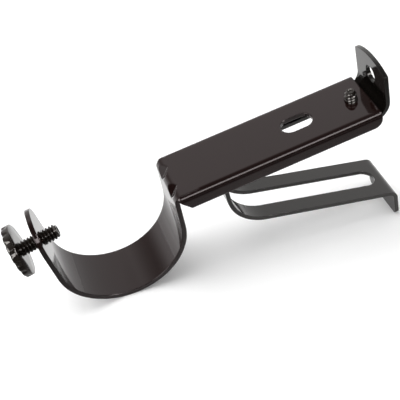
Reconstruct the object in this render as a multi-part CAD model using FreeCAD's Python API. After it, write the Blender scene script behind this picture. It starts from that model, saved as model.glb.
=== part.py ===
import FreeCAD, Part
import math
import os

# Curtain pole bracket in two folded steel pieces. A strap is screwed to the wall and
# carries an arm that slides over it. The arm ends in an open cradle for the pole.
# Millimetres. X points into the wall, Y runs along the pole, Z is up.
# The origin is the centre of the upper wall screw hole, on the wall face.

# Arm: one folded sheet, a channel that bends down into the cradle.
arm_sheet = 1.5
channel_width = 22.0
flange_depth = 5.3
flange_bend_outer = 2.0
arm_end_gap = 3.6
arm_corner_radius = 3.0
flange_cut_bottom = 68.4
shoulder_reach = 2.6
hole_above_arm = 6.9

# Neck: the bend from the arm's top down into the cradle wall.
neck_bend_outer = 3.0
gusset_along_arm = 3.0
gusset_down_neck = 4.0
gusset_width = 5.6
gusset_offset = 4.6

# Cradle: an open loop for the pole, ending in a tab for the thumb screw.
pole_projection = 93.4
pole_drop = 11.4
cradle_radius = 19.85
cradle_width = 19.2
neck_lean = 3.7
tab_lean = 2.6
tab_top_above_arm = 7.3
tab_corner_radius = 9.0

# Obround window in the arm's top.
window_length = 10.6
window_width = 6.4
window_centre = 27.7

# Strap: one folded strip that fills the channel with a sliding clearance.
strap_sheet = 1.35
slide_clearance = 0.1
plate_corner_height = 4.55
plate_arch_rise = 2.3
plate_bend_outer = 6.0
strap_gap = 1.35
hidden_bend_inner = 1.65
loop_reach = 57.3
loop_bend_outer = 16.0
leg_angle = 18.5
leg_drop = 39.8
fold_bend_outer = 3.5
foot_drop = 51.0
foot_corner_radius = 2.0
strap_slot_width = 7.55
strap_slot_lower_end = 4.0

# Wall screw holes.
wall_hole_diameter = 5.6
foot_hole_diameter = 5.0
foot_hole_above_foot = 4.4

# Thumb screw: it grips the pole through the tab.
thumb_thread = 4.8
thread_clearance = 0.05
thumb_hole_below_arm = 2.5
thumb_lean = 6.0
thumb_reach = 5.0
thumb_head_gap = 7.5
thumb_head_diameter = 17.2
thumb_head_thickness = 2.5
flute_count = 15
flute_radius = 1.3
flute_depth = 0.6
plain_rim = 0.4
tip_chamfer = 0.6
rim_chamfer = 0.3

# Clamp screw: it holds the arm on the strap, through a tapped collar under the arm.
clamp_thread = 4.0
clamp_past_bend = 2.7
collar_wall = 0.8
collar_height = 1.2
clamp_above_arm = 3.6
clamp_head_diameter = 11.0
clamp_head_height = 2.2
clamp_edge_height = 0.9
seat_clearance = 0.05
recess_width = 1.0
recess_length = 5.0
recess_depth = 1.1

# Heights and half widths that several pieces share.
arm_top = -hole_above_arm
half_channel = channel_width / 2
half_cradle = cradle_width / 2
half_strap = half_channel - arm_sheet - slide_clearance
strap_top = arm_top - arm_sheet - strap_gap
strap_underside = strap_top - strap_sheet
clamp_x = -plate_bend_outer - clamp_past_bend
far = 4 * channel_width


def point(x, z, y=0.0):
    return FreeCAD.Vector(x, y, z)


def beside(place, heading, distance):
    # The point at a distance to the right of a heading, in the XZ plane.
    return (place[0] + distance * math.sin(heading), place[1] - distance * math.cos(heading))


def face_line(start, heading, moves, shift, thickness_side):
    # Edges of one face of a folded strip. A move is (length, None) for a straight
    # piece or (turn in degrees, radius) for a bend. The given radii belong to the
    # face with no shift. A left turn is positive.
    place = beside(start, heading, thickness_side * shift)
    edges = []
    for amount, radius in moves:
        if radius is None:
            ahead = (place[0] + amount * math.cos(heading), place[1] + amount * math.sin(heading))
            edges.append(Part.makeLine(point(*place), point(*ahead)))
        else:
            turn = math.radians(amount)
            side = -1 if turn > 0 else 1
            bend = radius - side * thickness_side * shift
            centre = beside(place, heading, side * bend)
            middle = beside(centre, heading + turn / 2, -side * bend)
            ahead = beside(centre, heading + turn, -side * bend)
            edges.append(Part.Arc(point(*place), point(*middle), point(*ahead)).toShape())
            heading = heading + turn
        place = ahead
    return edges, place


def folded_strip(start, heading_degrees, moves, sheet, thickness_side, width):
    # A strip of sheet, folded along its length and as wide as asked, centred on y = 0.
    # A thickness side of 1 puts the second face on the right of the heading, -1 on the left.
    heading = math.radians(heading_degrees)
    first, first_end = face_line(start, heading, moves, 0.0, thickness_side)
    second, second_end = face_line(start, heading, moves, sheet, thickness_side)
    second_start = beside(start, heading, thickness_side * sheet)
    last_cap = Part.makeLine(point(*first_end), point(*second_end))
    first_cap = Part.makeLine(point(*second_start), point(*start))
    outline = Part.Wire(Part.__sortEdges__(first + [last_cap] + second + [first_cap]))
    strip = Part.Face(outline).extrude(FreeCAD.Vector(0, width, 0))
    strip.translate(FreeCAD.Vector(0, -width / 2, 0))
    return strip


def obround(x_low, x_high, width, z_low, z_high):
    # A slot cutter with round ends that stands upright.
    radius = width / 2
    height = z_high - z_low
    body = Part.makeBox(x_high - x_low - width, width, height, point(x_low + radius, z_low, -radius))
    low_end = Part.makeCylinder(radius, height, point(x_low + radius, z_low))
    high_end = Part.makeCylinder(radius, height, point(x_high - radius, z_low))
    return body.fuse([low_end, high_end])


def rounded_in_y(shape, z_edge, half_width, radius, downward):
    # Rounds both corners of a strip that ends at z_edge.
    side = 1 if downward else -1
    corner_z = z_edge + side * radius
    for y_side in (-1, 1):
        square = Part.makeBox(far, radius, radius)
        y_low = half_width - radius if y_side > 0 else -half_width
        z_low = z_edge if downward else z_edge - radius
        square.translate(FreeCAD.Vector(-far / 2, y_low, z_low))
        rod_start = point(-far / 2, corner_z, y_side * (half_width - radius))
        round_rod = Part.makeCylinder(radius, far, rod_start, FreeCAD.Vector(1, 0, 0))
        waste = square.cut(round_rod)
        waste.translate(FreeCAD.Vector(shape.BoundBox.Center.x, 0, 0))
        shape = shape.cut(waste)
    return shape


def finished(shape):
    solid = shape.removeSplitter()
    return solid.Solids[0] if len(solid.Solids) == 1 else solid


# Cradle strip. Its reference face is the arm's top, which turns into the pole side.
lean = math.radians(neck_lean)
tab_angle = math.radians(tab_lean)
cradle_centre = (-pole_projection, arm_top - pole_drop)
bend_plus_cradle = neck_bend_outer + cradle_radius
neck_length = (pole_drop - neck_bend_outer + bend_plus_cradle * math.sin(lean)) / math.cos(lean)
neck_x = -pole_projection + bend_plus_cradle * math.cos(lean) + neck_length * math.sin(lean)
tab_foot_x = cradle_centre[0] - cradle_radius * math.cos(tab_angle)
tab_foot_z = cradle_centre[1] - cradle_radius * math.sin(tab_angle)
tab_top = arm_top + tab_top_above_arm
tab_length = (tab_top - tab_foot_z) / math.cos(tab_angle)
strip_start = (neck_x + flange_depth, arm_top)
cradle_moves = [
    (flange_depth, None),
    (90 - neck_lean, neck_bend_outer),
    (neck_length, None),
    (neck_lean + tab_lean - 180, cradle_radius),
    (tab_length, None),
]
cradle = folded_strip(strip_start, 180, cradle_moves, arm_sheet, -1, cradle_width)

# The tab's end is square across before its corners are rounded.
tab_trim = Part.makeBox(far, far, far, point(tab_foot_x - far / 2, tab_top, -far / 2))
tab_zone = Part.makeBox(far, far, far, point(cradle_centre[0] - far, cradle_centre[1], -far / 2))
square_tab = cradle.common(tab_zone).cut(tab_trim)
round_tab = rounded_in_y(square_tab, tab_top, half_cradle, tab_corner_radius, False)
cradle = cradle.cut(tab_zone).fuse(round_tab)

# Channel: a U section with ball corners at the neck, cut to the side outline of the arm.
flange_foot = arm_top - flange_depth
crown = neck_bend_outer * math.sqrt(0.5)
neck_centre_z = arm_top - neck_bend_outer
shoulder_x = neck_x - shoulder_reach
crown_x = neck_x - crown
u_outer = Part.makeBox(
    -shoulder_x, channel_width, flange_depth, point(shoulder_x, flange_foot, -half_channel)
)
bent_edges = [
    edge for edge in u_outer.Edges
    if edge.BoundBox.ZMax > flange_foot + flange_depth / 2 and edge.BoundBox.XMin < -flange_depth
]
u_outer = u_outer.makeFillet(flange_bend_outer, bent_edges)
inner_radius = flange_bend_outer - arm_sheet
inner_width = channel_width - 2 * arm_sheet
u_inner = Part.makeBox(far, inner_width, far, point(-far, arm_top - arm_sheet - far, -inner_width / 2))
inner_edges = [
    edge for edge in u_inner.Edges
    if edge.BoundBox.XLength > flange_depth and edge.BoundBox.ZMin > flange_foot
]
u_inner = u_inner.makeFillet(inner_radius, inner_edges)
u_section = u_outer.cut(u_inner)
corner_x = -arm_end_gap - arm_corner_radius
corner_z = flange_foot + arm_corner_radius
corner_mid = arm_corner_radius * math.sqrt(0.5)
side_edges = [
    Part.makeLine(point(-arm_end_gap, corner_z), point(-arm_end_gap, arm_top)),
    Part.makeLine(point(-arm_end_gap, arm_top), point(neck_x, arm_top)),
    Part.Arc(
        point(neck_x, arm_top),
        point(
            neck_x - neck_bend_outer * math.sin(math.pi / 8),
            neck_centre_z + neck_bend_outer * math.cos(math.pi / 8),
        ),
        point(crown_x, neck_centre_z + crown),
    ).toShape(),
    Part.makeLine(point(crown_x, neck_centre_z + crown), point(-flange_cut_bottom, flange_foot)),
    Part.makeLine(point(-flange_cut_bottom, flange_foot), point(corner_x, flange_foot)),
    Part.Arc(
        point(corner_x, flange_foot),
        point(corner_x + corner_mid, corner_z - corner_mid),
        point(-arm_end_gap, corner_z),
    ).toShape(),
]
side_outline = Part.Face(Part.Wire(Part.__sortEdges__(side_edges)))
side_prism = side_outline.extrude(FreeCAD.Vector(0, channel_width, 0))
side_prism.translate(FreeCAD.Vector(0, -half_channel, 0))
channel = u_section.common(side_prism)

# Tapped collar, pulled down from the arm's top.
clamp_radius = clamp_thread / 2
collar = Part.makeCylinder(
    clamp_radius + collar_wall, arm_sheet / 2 + collar_height,
    point(clamp_x, arm_top - arm_sheet - collar_height)
)
hook_arm = channel.fuse(cradle).fuse(collar)


def gusset_wedge(y_centre, grow):
    # A V that lies across the neck bend. Its valley runs from a point on the arm's top
    # to a point on the neck, both measured from the corner that the bend rounds off.
    # Growing it by the sheet gives the rib that the punch raises on the inside.
    slope = math.atan2(gusset_down_neck, gusset_along_arm)
    inward = (math.sin(slope), -math.cos(slope))
    along = FreeCAD.Vector(math.cos(slope), 0, math.sin(slope))
    valley = gusset_along_arm * math.sin(slope)
    crown_distance = neck_bend_outer * (math.sqrt(2) - 1)
    flank = math.atan2(valley - crown_distance, gusset_width / 2)
    tip = valley + grow / math.cos(flank)
    back = -2 * neck_bend_outer
    half = (tip - back) / math.tan(flank)
    corners = []
    for depth, y_shift in ((tip, 0.0), (back, half), (back, -half), (tip, 0.0)):
        corners.append(point(
            neck_x - neck_bend_outer + depth * inward[0], arm_top + depth * inward[1], y_centre + y_shift
        ))
    wedge = Part.Face(Part.makePolygon(corners))
    wedge.translate(along * 2 * neck_bend_outer)
    return wedge.extrude(along * -4 * neck_bend_outer)


# Gussets: two V dents pressed into the neck bend from outside, each with its rib inside.
half_sheet = arm_sheet / 2
inside_x = neck_x - neck_bend_outer + half_sheet
inside_corner = Part.makeBox(
    far, inner_width, far, point(inside_x, arm_top - half_sheet - far, -inner_width / 2)
)
for y_side in (-1, 1):
    rib_y = y_side * gusset_offset
    rib_band = Part.makeBox(
        far, gusset_width, far, point(inside_x, arm_top - far / 2, rib_y - gusset_width / 2)
    )
    rib = gusset_wedge(rib_y, arm_sheet).common(inside_corner).common(rib_band)
    hook_arm = hook_arm.fuse(rib)
for y_side in (-1, 1):
    hook_arm = hook_arm.cut(gusset_wedge(y_side * gusset_offset, 0.0))

# Window, clamp screw hole and thumb screw hole.
window = obround(
    -window_centre - window_length / 2, -window_centre + window_length / 2, window_width,
    arm_top - 2 * arm_sheet, arm_top + arm_sheet,
)
clamp_hole = Part.makeCylinder(
    clamp_radius + thread_clearance, 4 * arm_sheet, point(clamp_x, arm_top - 3 * arm_sheet)
)
thumb_angle = math.radians(thumb_lean)
thumb_inward = FreeCAD.Vector(math.cos(thumb_angle), 0, math.sin(thumb_angle))
thumb_z = arm_top - thumb_hole_below_arm
thumb_x = tab_foot_x - (thumb_z - tab_foot_z) * math.tan(tab_angle)
thumb_root = point(thumb_x, thumb_z)
thumb_radius = thumb_thread / 2
thumb_hole = Part.makeCylinder(
    thumb_radius + thread_clearance, 4 * arm_sheet, thumb_root - thumb_inward * 3 * arm_sheet, thumb_inward
)
hook_arm = finished(hook_arm.cut(window).cut(clamp_hole).cut(thumb_hole))

# Strap. Its reference face is the wall face, from the plate's top down to the foot.
leg = math.radians(leg_angle)
plate_top = plate_corner_height + plate_arch_rise
plate_length = plate_top - (strap_underside + plate_bend_outer)
loop_inner = loop_bend_outer - strap_sheet
loop_x = loop_bend_outer - loop_reach
leg_top_at_wall = arm_top - leg_drop
loop_z = leg_top_at_wall - loop_x * math.tan(leg) + loop_inner / math.cos(leg)
upper_length = loop_reach - strap_sheet - hidden_bend_inner - plate_bend_outer
drop_length = strap_underside - hidden_bend_inner - loop_z
fold_turn = 90 - leg_angle
fold_tangent = fold_bend_outer * math.tan(math.radians(fold_turn) / 2)
leg_start_x = loop_x - loop_inner * math.sin(leg)
leg_length = -leg_start_x / math.cos(leg) - fold_tangent
foot_bottom = arm_top - foot_drop
foot_length = leg_top_at_wall - fold_tangent - foot_bottom
strap_moves = [
    (plate_length, None),
    (-90, plate_bend_outer),
    (upper_length, None),
    (90, hidden_bend_inner),
    (drop_length, None),
    (fold_turn, loop_inner),
    (leg_length, None),
    (-fold_turn, fold_bend_outer),
    (foot_length, None),
]
strap = folded_strip((0.0, plate_top), 270, strap_moves, strap_sheet, 1, 2 * half_strap)

# The plate's top edge is a shallow arch.
arch_radius = (half_strap ** 2 + plate_arch_rise ** 2) / (2 * plate_arch_rise)
arch_rod = Part.makeCylinder(
    arch_radius, far, point(-far / 2, plate_top - arch_radius), FreeCAD.Vector(1, 0, 0)
)
above_corners = Part.makeBox(far, far, far, point(-far / 2, plate_corner_height, -far / 2))
strap = strap.cut(above_corners.cut(arch_rod))
strap = rounded_in_y(strap, foot_bottom, half_strap, foot_corner_radius, True)

# One slot runs from the plate bend through the loop and down the lower leg.
slot_left = -loop_reach - strap_slot_width
slot_right = clamp_x + clamp_thread / 2 + slide_clearance
upper_slot = obround(slot_left, slot_right, strap_slot_width, loop_z, arm_top)
lower_slot = obround(slot_left, -strap_slot_lower_end, strap_slot_width, foot_bottom, loop_z)
wall_hole = Part.makeCylinder(
    wall_hole_diameter / 2, 4 * strap_sheet, point(-2 * strap_sheet, 0), FreeCAD.Vector(1, 0, 0)
)
foot_hole = Part.makeCylinder(
    foot_hole_diameter / 2, 4 * strap_sheet,
    point(-2 * strap_sheet, foot_bottom + foot_hole_above_foot), FreeCAD.Vector(1, 0, 0)
)
wall_strap = finished(strap.cut(upper_slot).cut(lower_slot).cut(wall_hole).cut(foot_hole))

# Thumb screw, built along +Z with its tip up and its disc's inner face at z = 0.
thumb_length = thumb_head_gap + thumb_reach
stem = Part.makeCylinder(thumb_radius, thumb_length + rim_chamfer, point(0, -rim_chamfer))
stem_tip = [edge for edge in stem.Edges if edge.BoundBox.ZMin > thumb_length - tip_chamfer]
stem = stem.makeChamfer(tip_chamfer, stem_tip)
disc_radius = thumb_head_diameter / 2
disc = Part.makeCylinder(disc_radius, thumb_head_thickness, point(0, -thumb_head_thickness))
rims = [edge for edge in disc.Edges if edge.BoundBox.ZLength < thumb_head_thickness / 2]
disc = disc.makeChamfer(rim_chamfer, rims)

# The flutes are deep at the outer face and run out before the plain rim of the inner one.
flute_run = thumb_head_thickness - plain_rim
flutes = []
for step in range(flute_count):
    around = 2 * math.pi * (step + 0.5) / flute_count
    reach = disc_radius - flute_depth + flute_radius
    flute_place = point(reach * math.cos(around), -thumb_head_thickness, reach * math.sin(around))
    flutes.append(Part.makeCone(flute_radius, flute_radius - flute_depth, flute_run, flute_place))
disc = disc.cut(flutes[0].multiFuse(flutes[1:]))
thumb_screw = finished(disc.fuse(stem))
thumb_screw.rotate(FreeCAD.Vector(0, 0, 0), FreeCAD.Vector(0, 1, 0), 90 - thumb_lean)
thumb_screw.translate(thumb_root - thumb_inward * thumb_head_gap)

# Clamp screw: a wide, low head under the strap and a thread up through the arm.
head_seat = strap_underside - seat_clearance
head_radius = clamp_head_diameter / 2
dome_height = clamp_head_height - clamp_edge_height
dome_radius = (head_radius ** 2 + dome_height ** 2) / (2 * dome_height)
head_bottom = head_seat - clamp_head_height
head = Part.makeCylinder(head_radius, clamp_head_height, point(clamp_x, head_bottom))
dome = Part.makeSphere(dome_radius, point(clamp_x, head_bottom + dome_radius))
head = head.common(dome)
clamp_tip = arm_top + clamp_above_arm
shank_bottom = head_bottom + recess_depth
shank = Part.makeCylinder(clamp_radius, clamp_tip - shank_bottom, point(clamp_x, shank_bottom))
shank_tip = [edge for edge in shank.Edges if edge.BoundBox.ZMin > clamp_tip - tip_chamfer]
shank = shank.makeChamfer(tip_chamfer, shank_tip)
recess_along = Part.makeBox(
    recess_length, recess_width, recess_depth,
    point(clamp_x - recess_length / 2, head_bottom, -recess_width / 2)
)
recess_across = Part.makeBox(
    recess_width, recess_length, recess_depth,
    point(clamp_x - recess_width / 2, head_bottom, -recess_length / 2)
)
clamp_screw = finished(head.fuse(shank).cut(recess_along.fuse(recess_across)))

os.makedirs("parts", exist_ok=True)
hook_arm.exportStep("parts/hook_arm.step")
wall_strap.exportStep("parts/wall_strap.step")
thumb_screw.exportStep("parts/thumb_screw.step")
clamp_screw.exportStep("parts/clamp_screw.step")
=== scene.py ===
import math

import bmesh
import bpy
from mathutils import Matrix, Vector


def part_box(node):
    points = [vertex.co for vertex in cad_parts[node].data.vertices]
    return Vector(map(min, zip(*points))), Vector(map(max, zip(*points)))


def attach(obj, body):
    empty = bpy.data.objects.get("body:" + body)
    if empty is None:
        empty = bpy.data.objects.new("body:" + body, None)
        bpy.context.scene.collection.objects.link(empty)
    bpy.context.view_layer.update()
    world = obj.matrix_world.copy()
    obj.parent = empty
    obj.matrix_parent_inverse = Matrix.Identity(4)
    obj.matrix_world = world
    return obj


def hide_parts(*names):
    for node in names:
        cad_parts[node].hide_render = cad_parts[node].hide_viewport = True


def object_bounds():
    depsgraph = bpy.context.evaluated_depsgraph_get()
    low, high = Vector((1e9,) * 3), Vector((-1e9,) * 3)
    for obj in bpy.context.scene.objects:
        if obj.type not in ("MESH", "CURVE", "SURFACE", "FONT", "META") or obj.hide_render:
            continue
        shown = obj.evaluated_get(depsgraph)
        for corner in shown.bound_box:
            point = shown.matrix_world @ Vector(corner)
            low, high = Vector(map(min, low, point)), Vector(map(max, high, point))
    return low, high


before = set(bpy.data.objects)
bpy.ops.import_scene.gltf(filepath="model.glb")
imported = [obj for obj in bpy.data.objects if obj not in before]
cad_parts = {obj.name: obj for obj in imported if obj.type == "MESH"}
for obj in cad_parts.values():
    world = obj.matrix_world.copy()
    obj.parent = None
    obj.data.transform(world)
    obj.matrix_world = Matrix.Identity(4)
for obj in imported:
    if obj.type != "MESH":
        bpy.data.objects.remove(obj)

MM = 0.001
cad_low, cad_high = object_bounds()
clamp_low, clamp_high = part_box("clamp_screw")

# Sizes and places in millimetres, in the row frame: X into the wall, Z up.
# A thread's form is its depth as a share of the pitch, and its crest's share of the pitch.
# A thread's end is the length of its taper and how deep that goes. A recess's shares are the size
# of its mouth and of its floor. OVERLAP is how far a stem or a cutter runs past a head's face.
# The floor rises from the wall to its knee, drops, and is level from FLOOR_LEVEL, an X and a Z.
THUMB_ROOT = (-113.675, 0.0, -9.4)
THUMB_LEAN = math.radians(6.0)
THUMB_HEAD_GAP = 7.5
THUMB_REACH = 5.0
THUMB_RADIUS = 2.4
THUMB_PITCH = 1.06
THUMB_FORM = (0.6, 0.3)
THUMB_END = (1.0, 0.6)
DISC_RADIUS = 8.6
DISC_THICKNESS = 2.5
FLUTES = 15
FLUTE_RADIUS = 1.3
FLUTE_DEPTH = 0.6
PLAIN_RIM = 0.4
CLAMP_X = (clamp_low.x + clamp_high.x) / 2 / MM
CLAMP_RADIUS = 2.0
CLAMP_PITCH = 1.1
CLAMP_FORM = (0.28, 0.45)
CLAMP_END = (1.5, 0.75)
CLAMP_TIP = clamp_high.z / MM
CLAMP_SEAT = -11.15
CLAMP_HEAD_RADIUS = (clamp_high.x - clamp_low.x) / 2 / MM
CLAMP_HEAD_HEIGHT = 2.2
RECESS_LENGTH = 5.0
RECESS_WIDTH = 1.1
RECESS_DEPTH = 1.2
RECESS_SHARES = (1.12, 0.55)
OVERLAP = 0.3
FLOOR_CLEARANCE = 0.05
FLOOR_AT_WALL = cad_low.z / MM - FLOOR_CLEARANCE
FLOOR_SLOPE = math.radians(10.85)
FLOOR_KNEE = -98.5
FLOOR_LEVEL = (-112.0, -40.0)
FLOOR_HALF = 4000.0

# A cupped tip: shares of its radius, and how far below the tip each of them lies.
TIP_CUP = ((0.78, 0.0), (0.62, 0.3), (0.3, 0.5))

# How finely the screws are divided, and the angles in degrees up to which an edge is smooth.
AROUND = 64
STEPS_PER_PITCH = 20
STEPS_PER_FLUTE = 16
SMOOTH_ANGLE = 35.0
FLOOR_SMOOTH_ANGLE = 1.0

# Lacquer: noise scales per metre, the peel's bump height in metres, the shares between which the
# roughness varies, how squarely a sheared edge faces along Y, and the roughness that it adds.
CLOUD_SCALE = 70.0
CLOUD_DETAIL = 4.0
PEEL_SCALE = 900.0
PEEL_DETAIL = 2.0
PEEL_STRENGTH = 0.02
PEEL_HEIGHT = 0.0002
GLOSS_SPREAD = (0.8, 1.25)
EDGE_FACING = (0.85, 0.98)
EDGE_ROUGHNESS = 0.4
EDGE_SAMPLES = 6

# Floor. Its glow lifts it to white for the camera and in reflections. In reflections it is
# darkened towards the front, in -Y, and towards the left, along a slant of X and Y: painted shade.
# Distances in metres.
FLOOR_COLOUR = (0.93, 0.93, 0.93, 1.0)
FLOOR_ROUGHNESS = 0.9
FLOOR_GLOW = 0.1
FLOOR_SHADE = (0.06, 0.06, 0.06, 1.0)
FLOOR_SHADE_LEAST = 0.16
FLOOR_FRONT = (0.010, -0.10)
FLOOR_LEFT = (-0.01, -0.12)
FLOOR_SLANT = 0.5
FLOOR_FAR = (0.4, 0.9)

# Room. Its limits are parts of a unit vector that points away from the piece. The last three
# are how strongly it lights the piece from its dim and bright sides, and how white it looks.
ROOM_WALLS = (1.0, 1.0, 1.0, 1.0)
ROOM_DARK = (0.10, 0.095, 0.09, 1.0)
ROOM_CEILING = (0.70, 1.0)
ROOM_FRONT = (0.05, -0.45)
ROOM_LEFT = (-0.05, -0.6)
ROOM_RAISED = (0.1, 0.5)
ROOM_DUSK = 0.72
ROOM_LIT_SIDE = (-0.8, 0.6, 0.0)
ROOM_LIT = (0.1, 0.8)
ROOM_SHADE = 0.47
ROOM_BRIGHT = 1.3
ROOM_WHITE = 1.0

# Softboxes: name, place, target, width and height, all in metres, watts, and the rays that
# miss it. The ones that glossy rays miss light the piece, and the others only gleam on it.
SOFTBOXES = [
    ("overhead", (-0.12, 0.10, 0.75), (-0.06, 0.0, -0.03), (0.6, 0.6), 4.3, "glossy"),
    ("back", (-0.3, 0.65, 0.2), (-0.06, 0.0, -0.03), (0.7, 0.3), 3.8, "glossy"),
    ("front", (0.06, -0.50, 0.45), (-0.04, 0.0, -0.02), (0.56, 0.22), 2.4, "diffuse"),
    ("right", (0.42, -0.34, 0.59), (-0.01, 0.0, -0.01), (0.2, 0.2), 4.5, "diffuse"),
    ("left", (-0.49, -0.23, 0.33), (-0.09, 0.0, -0.03), (0.36, 0.36), 2.6, "diffuse"),
]

# The camera's place in millimetres, its axes and its lens, solved from straight edges of the
# photographed piece.
CAMERA_PLACE = (-86.19, -186.70, 171.84)
CAMERA_AXES = (
    (0.91475, -0.33768, -0.22183),
    (0.39570, 0.63792, 0.66066),
    (-0.08158, -0.69212, 0.71716),
)
FOCAL_PIXELS = 838.17
FRAME_PIXELS = 400.0
SENSOR_WIDTH = 36.0
CLIP_START = 0.01


def new_mesh(name, bm, smooth_angle=SMOOTH_ANGLE):
    mesh = bpy.data.meshes.new(name)
    bm.normal_update()
    bm.to_mesh(mesh)
    bm.free()
    obj = bpy.data.objects.new(name, mesh)
    bpy.context.scene.collection.objects.link(obj)
    smooth(mesh, smooth_angle)
    return obj


def smooth(mesh, angle=SMOOTH_ANGLE):
    for face in mesh.polygons:
        face.use_smooth = True
    mesh.set_sharp_from_angle(angle=math.radians(angle))


def round_point(radius, angle, z):
    return (radius * math.cos(angle) * MM, radius * math.sin(angle) * MM, z * MM)


def circle(radius, z):
    return [round_point(radius, 2 * math.pi * k / AROUND, z) for k in range(AROUND)]


def skin(bm, rings):
    # A closed skin over rings of equally many points, from the lowest to the highest.
    loops = [[bm.verts.new(point) for point in ring] for ring in rings]
    count = len(loops[0])
    for low, high in zip(loops, loops[1:]):
        for k in range(count):
            j = (k + 1) % count
            bm.faces.new((low[k], low[j], high[j], high[k]))
    bm.faces.new(list(reversed(loops[0])))
    bm.faces.new(loops[-1])


def thread(bm, major, pitch, form, end, z_low, z_high):
    # A single-start thread with flats on its crests, a tapered end and a cupped tip.
    deep, crest = form
    end_length, end_depth = end
    total = int(round((z_high - z_low) / pitch * STEPS_PER_PITCH))
    rings = []
    for i in range(total + 1):
        z = z_low + (z_high - z_low) * i / total
        taper = end_depth * max(0.0, 1 - (z_high - z) / end_length)
        depth = deep * pitch * (1 - taper / end_depth)
        ring = []
        for k in range(AROUND):
            wave = abs(2 * ((z / pitch - k / AROUND) % 1.0) - 1)
            cut = max((wave - crest) / (1 - crest), 0.0)
            ring.append(round_point(major - taper - depth * cut, 2 * math.pi * k / AROUND, z))
        rings.append(ring)
    rings += [circle((major - end_depth) * share, z_high - drop) for share, drop in TIP_CUP]
    skin(bm, rings)


def fluted_ring(z, inset):
    # A flute has its full depth at the disc's outer face and runs out at the plain rim.
    run = min(max((-z - PLAIN_RIM) / (DISC_THICKNESS - PLAIN_RIM), 0.0), 1.0)
    cutter = FLUTE_RADIUS - FLUTE_DEPTH * (1 - run)
    reach = DISC_RADIUS - FLUTE_DEPTH + FLUTE_RADIUS
    ring = []
    for step in range(FLUTES * STEPS_PER_FLUTE):
        angle = 2 * math.pi * step / (FLUTES * STEPS_PER_FLUTE)
        offset = ((step / STEPS_PER_FLUTE) % 1.0 - 0.5) * 2 * math.pi / FLUTES
        side = reach * math.sin(offset)
        radius = DISC_RADIUS
        if abs(side) < cutter:
            radius = min(radius, reach * math.cos(offset) - math.sqrt(cutter ** 2 - side ** 2))
        ring.append(round_point(radius - inset, angle, z))
    return ring


def make_thumb_screw():
    # The rim lists heights and insets, from inside the outer face to inside the inner face.
    bm = bmesh.new()
    low = -DISC_THICKNESS
    rim = [
        (low, 4.0), (low, 0.55), (low + 0.05, 0.30), (low + 0.17, 0.12), (low + 0.38, 0.0),
        (low + 0.8, 0.0), (-0.8, 0.0), (-0.55, 0.0), (-PLAIN_RIM, 0.0), (-0.16, 0.02),
        (-0.06, 0.08), (0.0, 0.20), (0.0, 4.0),
    ]
    skin(bm, [fluted_ring(z, inset) for z, inset in rim])
    tip = THUMB_HEAD_GAP + THUMB_REACH
    thread(bm, THUMB_RADIUS, THUMB_PITCH, THUMB_FORM, THUMB_END, -OVERLAP, tip)
    obj = new_mesh("thumb_screw_threaded", bm)
    turn = Matrix.Rotation(math.pi / 2 - THUMB_LEAN, 4, "Y")
    axis = Vector((math.cos(THUMB_LEAN), 0.0, math.sin(THUMB_LEAN)))
    place = Vector(THUMB_ROOT) - axis * THUMB_HEAD_GAP
    obj.data.transform(Matrix.Translation(place * MM) @ turn)
    return obj


def cross_cutter():
    # Two bars whose ends and sides narrow towards the recess's floor.
    bm = bmesh.new()
    low = CLAMP_SEAT - CLAMP_HEAD_HEIGHT
    for length, width in ((RECESS_LENGTH, RECESS_WIDTH), (RECESS_WIDTH, RECESS_LENGTH)):
        rings = []
        for z, share in zip((low - OVERLAP, low + RECESS_DEPTH), RECESS_SHARES):
            x, y = length / 2 * share, width / 2 * share
            rings.append([
                ((CLAMP_X + px * x) * MM, py * y * MM, z * MM)
                for px, py in ((-1, -1), (1, -1), (1, 1), (-1, 1))
            ])
        skin(bm, rings)
    return new_mesh("recess_cutter", bm)


def make_clamp_head():
    # The profile lists radii and heights, from the middle of the dome to under the seat.
    bm = bmesh.new()
    low = CLAMP_SEAT - CLAMP_HEAD_HEIGHT
    profile = [
        (0.6, 0.0), (1.8, 0.04), (2.9, 0.14), (3.8, 0.34), (4.5, 0.62), (5.0, 0.94),
        (5.3, 1.22), (5.45, 1.48), (CLAMP_HEAD_RADIUS, 1.75), (5.47, 2.08),
        (5.36, CLAMP_HEAD_HEIGHT), (1.5, CLAMP_HEAD_HEIGHT),
    ]
    skin(bm, [circle(radius, low + up) for radius, up in profile])
    obj = new_mesh("clamp_screw_threaded", bm)
    obj.data.transform(Matrix.Translation((CLAMP_X * MM, 0.0, 0.0)))
    return obj


def make_clamp_screw():
    obj = make_clamp_head()
    cutter = cross_cutter()
    cut = obj.modifiers.new("recess", "BOOLEAN")
    cut.object = cutter
    cut.solver = "EXACT"
    cut.use_self = True
    solved = obj.evaluated_get(bpy.context.evaluated_depsgraph_get())
    head = bpy.data.meshes.new_from_object(solved)
    obj.modifiers.clear()
    bpy.data.objects.remove(cutter)

    bm = bmesh.new()
    thread(bm, CLAMP_RADIUS, CLAMP_PITCH, CLAMP_FORM, CLAMP_END, CLAMP_SEAT - OVERLAP, CLAMP_TIP)
    bmesh.ops.translate(bm, verts=bm.verts, vec=(CLAMP_X * MM, 0.0, 0.0))
    bm.from_mesh(head)
    bm.to_mesh(obj.data)
    bm.free()
    smooth(obj.data)
    return obj


def add_node(tree, kind, **settings):
    made = tree.nodes.new(kind)
    for name, value in settings.items():
        setattr(made, name, value)
    return made


def feed(tree, socket, value):
    # The value is a number, a colour or another node's output.
    if isinstance(value, bpy.types.NodeSocket):
        tree.links.new(value, socket)
    else:
        socket.default_value = value


def maths(tree, operation, *values):
    made = add_node(tree, "ShaderNodeMath", operation=operation)
    for socket, value in zip(made.inputs, values):
        feed(tree, socket, value)
    return made.outputs[0]


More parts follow.
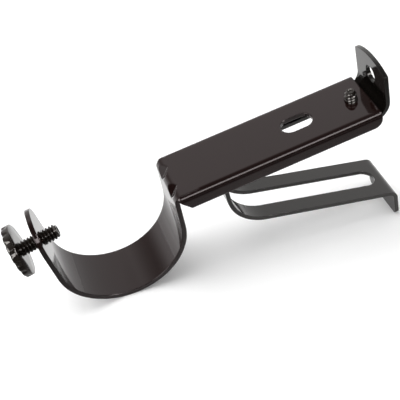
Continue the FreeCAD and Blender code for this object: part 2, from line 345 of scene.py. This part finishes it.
def mapped(tree, value, limits, results, steps="LINEAR"):
    made = add_node(tree, "ShaderNodeMapRange", interpolation_type=steps)
    names = ("Value", "From Min", "From Max", "To Min", "To Max")
    for name, given in zip(names, (value, *limits, *results)):
        feed(tree, made.inputs[name], given)
    return made.outputs["Result"]


def ramp(tree, value, limits):
    # A smooth rise from 0 at the first limit to 1 at the second.
    return mapped(tree, value, limits, (0.0, 1.0), "SMOOTHSTEP")


def parts_of(tree, vector):
    made = add_node(tree, "ShaderNodeSeparateXYZ")
    feed(tree, made.inputs[0], vector)
    return made.outputs


def noise(tree, place, scale, detail):
    made = add_node(tree, "ShaderNodeTexNoise")
    for name, value in (("Vector", place), ("Scale", scale), ("Detail", detail)):
        feed(tree, made.inputs[name], value)
    return made.outputs["Fac"]


def mixed_colour(tree, share, first, second):
    # A Mix node takes its colours at inputs 6 and 7 and gives them at output 2.
    made = add_node(tree, "ShaderNodeMix", data_type="RGBA")
    for number, value in ((0, share), (6, first), (7, second)):
        feed(tree, made.inputs[number], value)
    return made.outputs[2]


def mixed_shader(tree, share, first, second):
    made = add_node(tree, "ShaderNodeMixShader")
    for socket, value in zip(made.inputs, (share, first, second)):
        feed(tree, socket, value)
    return made.outputs[0]


def new_material(name):
    material = bpy.data.materials.new(name)
    material.use_nodes = True
    return material, material.node_tree, material.node_tree.nodes["Principled BSDF"]


def rougher_on_edges(tree, coords, gloss, axis, limits):
    # Sheared edges, which face along Y, are less glossy past the given limits.
    past = ramp(tree, parts_of(tree, coords["Object"])[axis], limits)
    sideways = maths(tree, "ABSOLUTE", parts_of(tree, coords["Normal"])["Y"])
    sheared = maths(tree, "MULTIPLY", past, ramp(tree, sideways, EDGE_FACING))
    return maths(tree, "MULTIPLY_ADD", sheared, EDGE_ROUGHNESS, gloss)


def lacquer(name, dark, light, tint, roughness, refraction, softness, rough_edges=None):
    # Glossy dark bronze lacquer on steel: two close browns, a slightly uneven gloss, a faint
    # orange peel and edges softened by the given radius in metres.
    material, tree, shader = new_material(name)
    coords = add_node(tree, "ShaderNodeTexCoord").outputs
    cloud = noise(tree, coords["Object"], CLOUD_SCALE, CLOUD_DETAIL)
    peel = noise(tree, coords["Object"], PEEL_SCALE, PEEL_DETAIL)
    gloss = mapped(tree, cloud, (0.0, 1.0), [roughness * share for share in GLOSS_SPREAD])
    if rough_edges:
        gloss = rougher_on_edges(tree, coords, gloss, *rough_edges)
    soft = add_node(tree, "ShaderNodeBevel", samples=EDGE_SAMPLES)
    soft.inputs["Radius"].default_value = softness
    relief = add_node(tree, "ShaderNodeBump")
    relief.inputs["Strength"].default_value = PEEL_STRENGTH
    relief.inputs["Distance"].default_value = PEEL_HEIGHT
    feed(tree, relief.inputs["Height"], peel)
    feed(tree, relief.inputs["Normal"], soft.outputs["Normal"])
    feed(tree, shader.inputs["Base Color"], mixed_colour(tree, cloud, (*dark, 1.0), (*light, 1.0)))
    feed(tree, shader.inputs["Roughness"], gloss)
    feed(tree, shader.inputs["Normal"], relief.outputs["Normal"])
    shader.inputs["IOR"].default_value = refraction
    shader.inputs["Specular Tint"].default_value = (*tint, 1.0)
    return material


def paint(obj, material):
    obj.data.materials.clear()
    obj.data.materials.append(material)


arm_paint = lacquer(
    "arm_lacquer", dark=(0.0065, 0.0026, 0.0022), light=(0.0095, 0.0042, 0.0036),
    tint=(1.0, 0.91, 0.91), roughness=0.07, refraction=1.49, softness=0.0006,
    rough_edges=("X", (-0.072, -0.074)),
)
strap_paint = lacquer(
    "strap_lacquer", dark=(0.003, 0.0024, 0.002), light=(0.005, 0.0042, 0.0036),
    tint=(1.0, 0.97, 0.94), roughness=0.08, refraction=1.6, softness=0.0003,
    rough_edges=("Z", (-0.011, -0.014)),
)
screw_paint = lacquer(
    "screw_lacquer", dark=(0.006, 0.0042, 0.003), light=(0.011, 0.008, 0.006),
    tint=(1.0, 0.95, 0.91), roughness=0.10, refraction=1.65, softness=0.00003,
)

paint(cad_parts["hook_arm"], arm_paint)
paint(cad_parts["wall_strap"], strap_paint)

thumb = make_thumb_screw()
paint(thumb, screw_paint)
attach(thumb, "thumb")
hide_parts("thumb_screw")

clamp = make_clamp_screw()
paint(clamp, screw_paint)
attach(clamp, "clamp")
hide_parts("clamp_screw")


def floor_white():
    material, tree, shader = new_material("floor_white")
    shader.inputs["Base Color"].default_value = FLOOR_COLOUR
    shader.inputs["Roughness"].default_value = FLOOR_ROUGHNESS
    shader.inputs["Specular IOR Level"].default_value = 0.0
    ray = add_node(tree, "ShaderNodeLightPath").outputs
    seen = maths(tree, "MAXIMUM", ray["Is Camera Ray"], ray["Is Glossy Ray"])
    glow = add_node(tree, "ShaderNodeEmission")
    feed(tree, glow.inputs["Strength"], maths(tree, "MULTIPLY", seen, FLOOR_GLOW))
    both = add_node(tree, "ShaderNodeAddShader")
    feed(tree, both.inputs[0], shader.outputs["BSDF"])
    feed(tree, both.inputs[1], glow.outputs["Emission"])

    # Painted shade: in reflections only, the floor turns towards FLOOR_SHADE at the front and the
    # left.
    coords = add_node(tree, "ShaderNodeTexCoord").outputs["Object"]
    place = parts_of(tree, coords)
    front = ramp(tree, place["Y"], FLOOR_FRONT)
    slant = maths(tree, "MULTIPLY_ADD", place["X"], FLOOR_SLANT, place["Y"])
    either = maths(tree, "MAXIMUM", front, ramp(tree, slant, FLOOR_LEFT))
    dark = maths(tree, "MAXIMUM", either, FLOOR_SHADE_LEAST)
    shade = add_node(tree, "ShaderNodeBsdfDiffuse")
    shade.inputs["Color"].default_value = FLOOR_SHADE
    mirrored = maths(tree, "MULTIPLY", dark, ray["Is Glossy Ray"])
    near = mixed_shader(tree, mirrored, both.outputs["Shader"], shade.outputs["BSDF"])

    # Far away the floor is plain white, as the room is.
    length = add_node(tree, "ShaderNodeVectorMath", operation="LENGTH")
    feed(tree, length.inputs[0], coords)
    far = maths(tree, "MULTIPLY", ramp(tree, length.outputs["Value"], FLOOR_FAR), seen)
    white = add_node(tree, "ShaderNodeEmission").outputs["Emission"]
    whole = mixed_shader(tree, far, near, white)
    feed(tree, tree.nodes["Material Output"].inputs["Surface"], whole)
    return material


def make_floor():
    # The foot and the cradle rest on it. Past the cradle it drops, so that the arm can slide out.
    rise = math.tan(FLOOR_SLOPE)
    profile = [(x, FLOOR_AT_WALL - x * rise) for x in (FLOOR_HALF, FLOOR_KNEE)]
    profile += [FLOOR_LEVEL, (-FLOOR_HALF, FLOOR_LEVEL[1])]
    bm = bmesh.new()
    near, far = (
        [bm.verts.new((x * MM, y * MM, z * MM)) for x, z in profile]
        for y in (-FLOOR_HALF, FLOOR_HALF)
    )
    for k in range(len(profile) - 1):
        bm.faces.new((near[k], far[k], far[k + 1], near[k + 1]))
    floor = new_mesh("floor", bm, FLOOR_SMOOTH_ANGLE)
    paint(floor, floor_white())


def make_world():
    # White walls behind the piece and low down. In reflections the ceiling, the side in front
    # and the upper left are dark.
    world = bpy.data.worlds.new("studio")
    bpy.context.scene.world = world
    world.use_nodes = True
    tree = world.node_tree
    shade = tree.nodes["Background"]
    coords = add_node(tree, "ShaderNodeTexCoord").outputs["Generated"]
    ray = add_node(tree, "ShaderNodeLightPath").outputs
    away = parts_of(tree, coords)
    ceiling = ramp(tree, away["Z"], ROOM_CEILING)
    front = ramp(tree, away["Y"], ROOM_FRONT)
    left = ramp(tree, away["X"], ROOM_LEFT)
    raised = maths(tree, "MULTIPLY", left, ramp(tree, away["Z"], ROOM_RAISED))
    dusk = maths(tree, "MULTIPLY", raised, ROOM_DUSK)
    darkest = maths(tree, "MAXIMUM", maths(tree, "MAXIMUM", ceiling, front), dusk)
    dim = maths(tree, "MULTIPLY", darkest, ray["Is Glossy Ray"])
    feed(tree, shade.inputs["Color"], mixed_colour(tree, dim, ROOM_WALLS, ROOM_DARK))

    # The room lights the piece from the left and from behind more than from elsewhere.
    along = add_node(tree, "ShaderNodeVectorMath", operation="DOT_PRODUCT")
    along.inputs[1].default_value = ROOM_LIT_SIDE
    feed(tree, along.inputs[0], coords)
    lit = mapped(tree, along.outputs["Value"], ROOM_LIT, (ROOM_SHADE, ROOM_BRIGHT))
    seen = maths(tree, "MAXIMUM", ray["Is Camera Ray"], ray["Is Glossy Ray"])
    feed(tree, shade.inputs["Strength"], mapped(tree, seen, (0.0, 1.0), (lit, ROOM_WHITE)))


def add_softbox(name, place, target, size, watts, missed_by):
    light = bpy.data.lights.new(name, "AREA")
    light.shape = "RECTANGLE"
    light.size, light.size_y = size
    light.energy = watts
    obj = bpy.data.objects.new(name, light)
    obj.location = place
    direction = Vector(target) - Vector(place)
    obj.rotation_euler = direction.to_track_quat("-Z", "Y").to_euler()
    setattr(obj, "visible_" + missed_by, False)
    bpy.context.scene.collection.objects.link(obj)


def make_camera():
    camera = bpy.data.cameras.new("camera")
    camera.sensor_width = SENSOR_WIDTH
    camera.lens = SENSOR_WIDTH * FOCAL_PIXELS / FRAME_PIXELS
    camera.clip_start = CLIP_START
    obj = bpy.data.objects.new("camera", camera)
    turn = Matrix(CAMERA_AXES).transposed().to_4x4()
    obj.matrix_world = Matrix.Translation(Vector(CAMERA_PLACE) * MM) @ turn
    bpy.context.scene.collection.objects.link(obj)
    bpy.context.scene.camera = obj


make_floor()
make_world()
for softbox in SOFTBOXES:
    add_softbox(*softbox)
make_camera()

scene = bpy.context.scene
scene.view_settings.view_transform = "Standard"
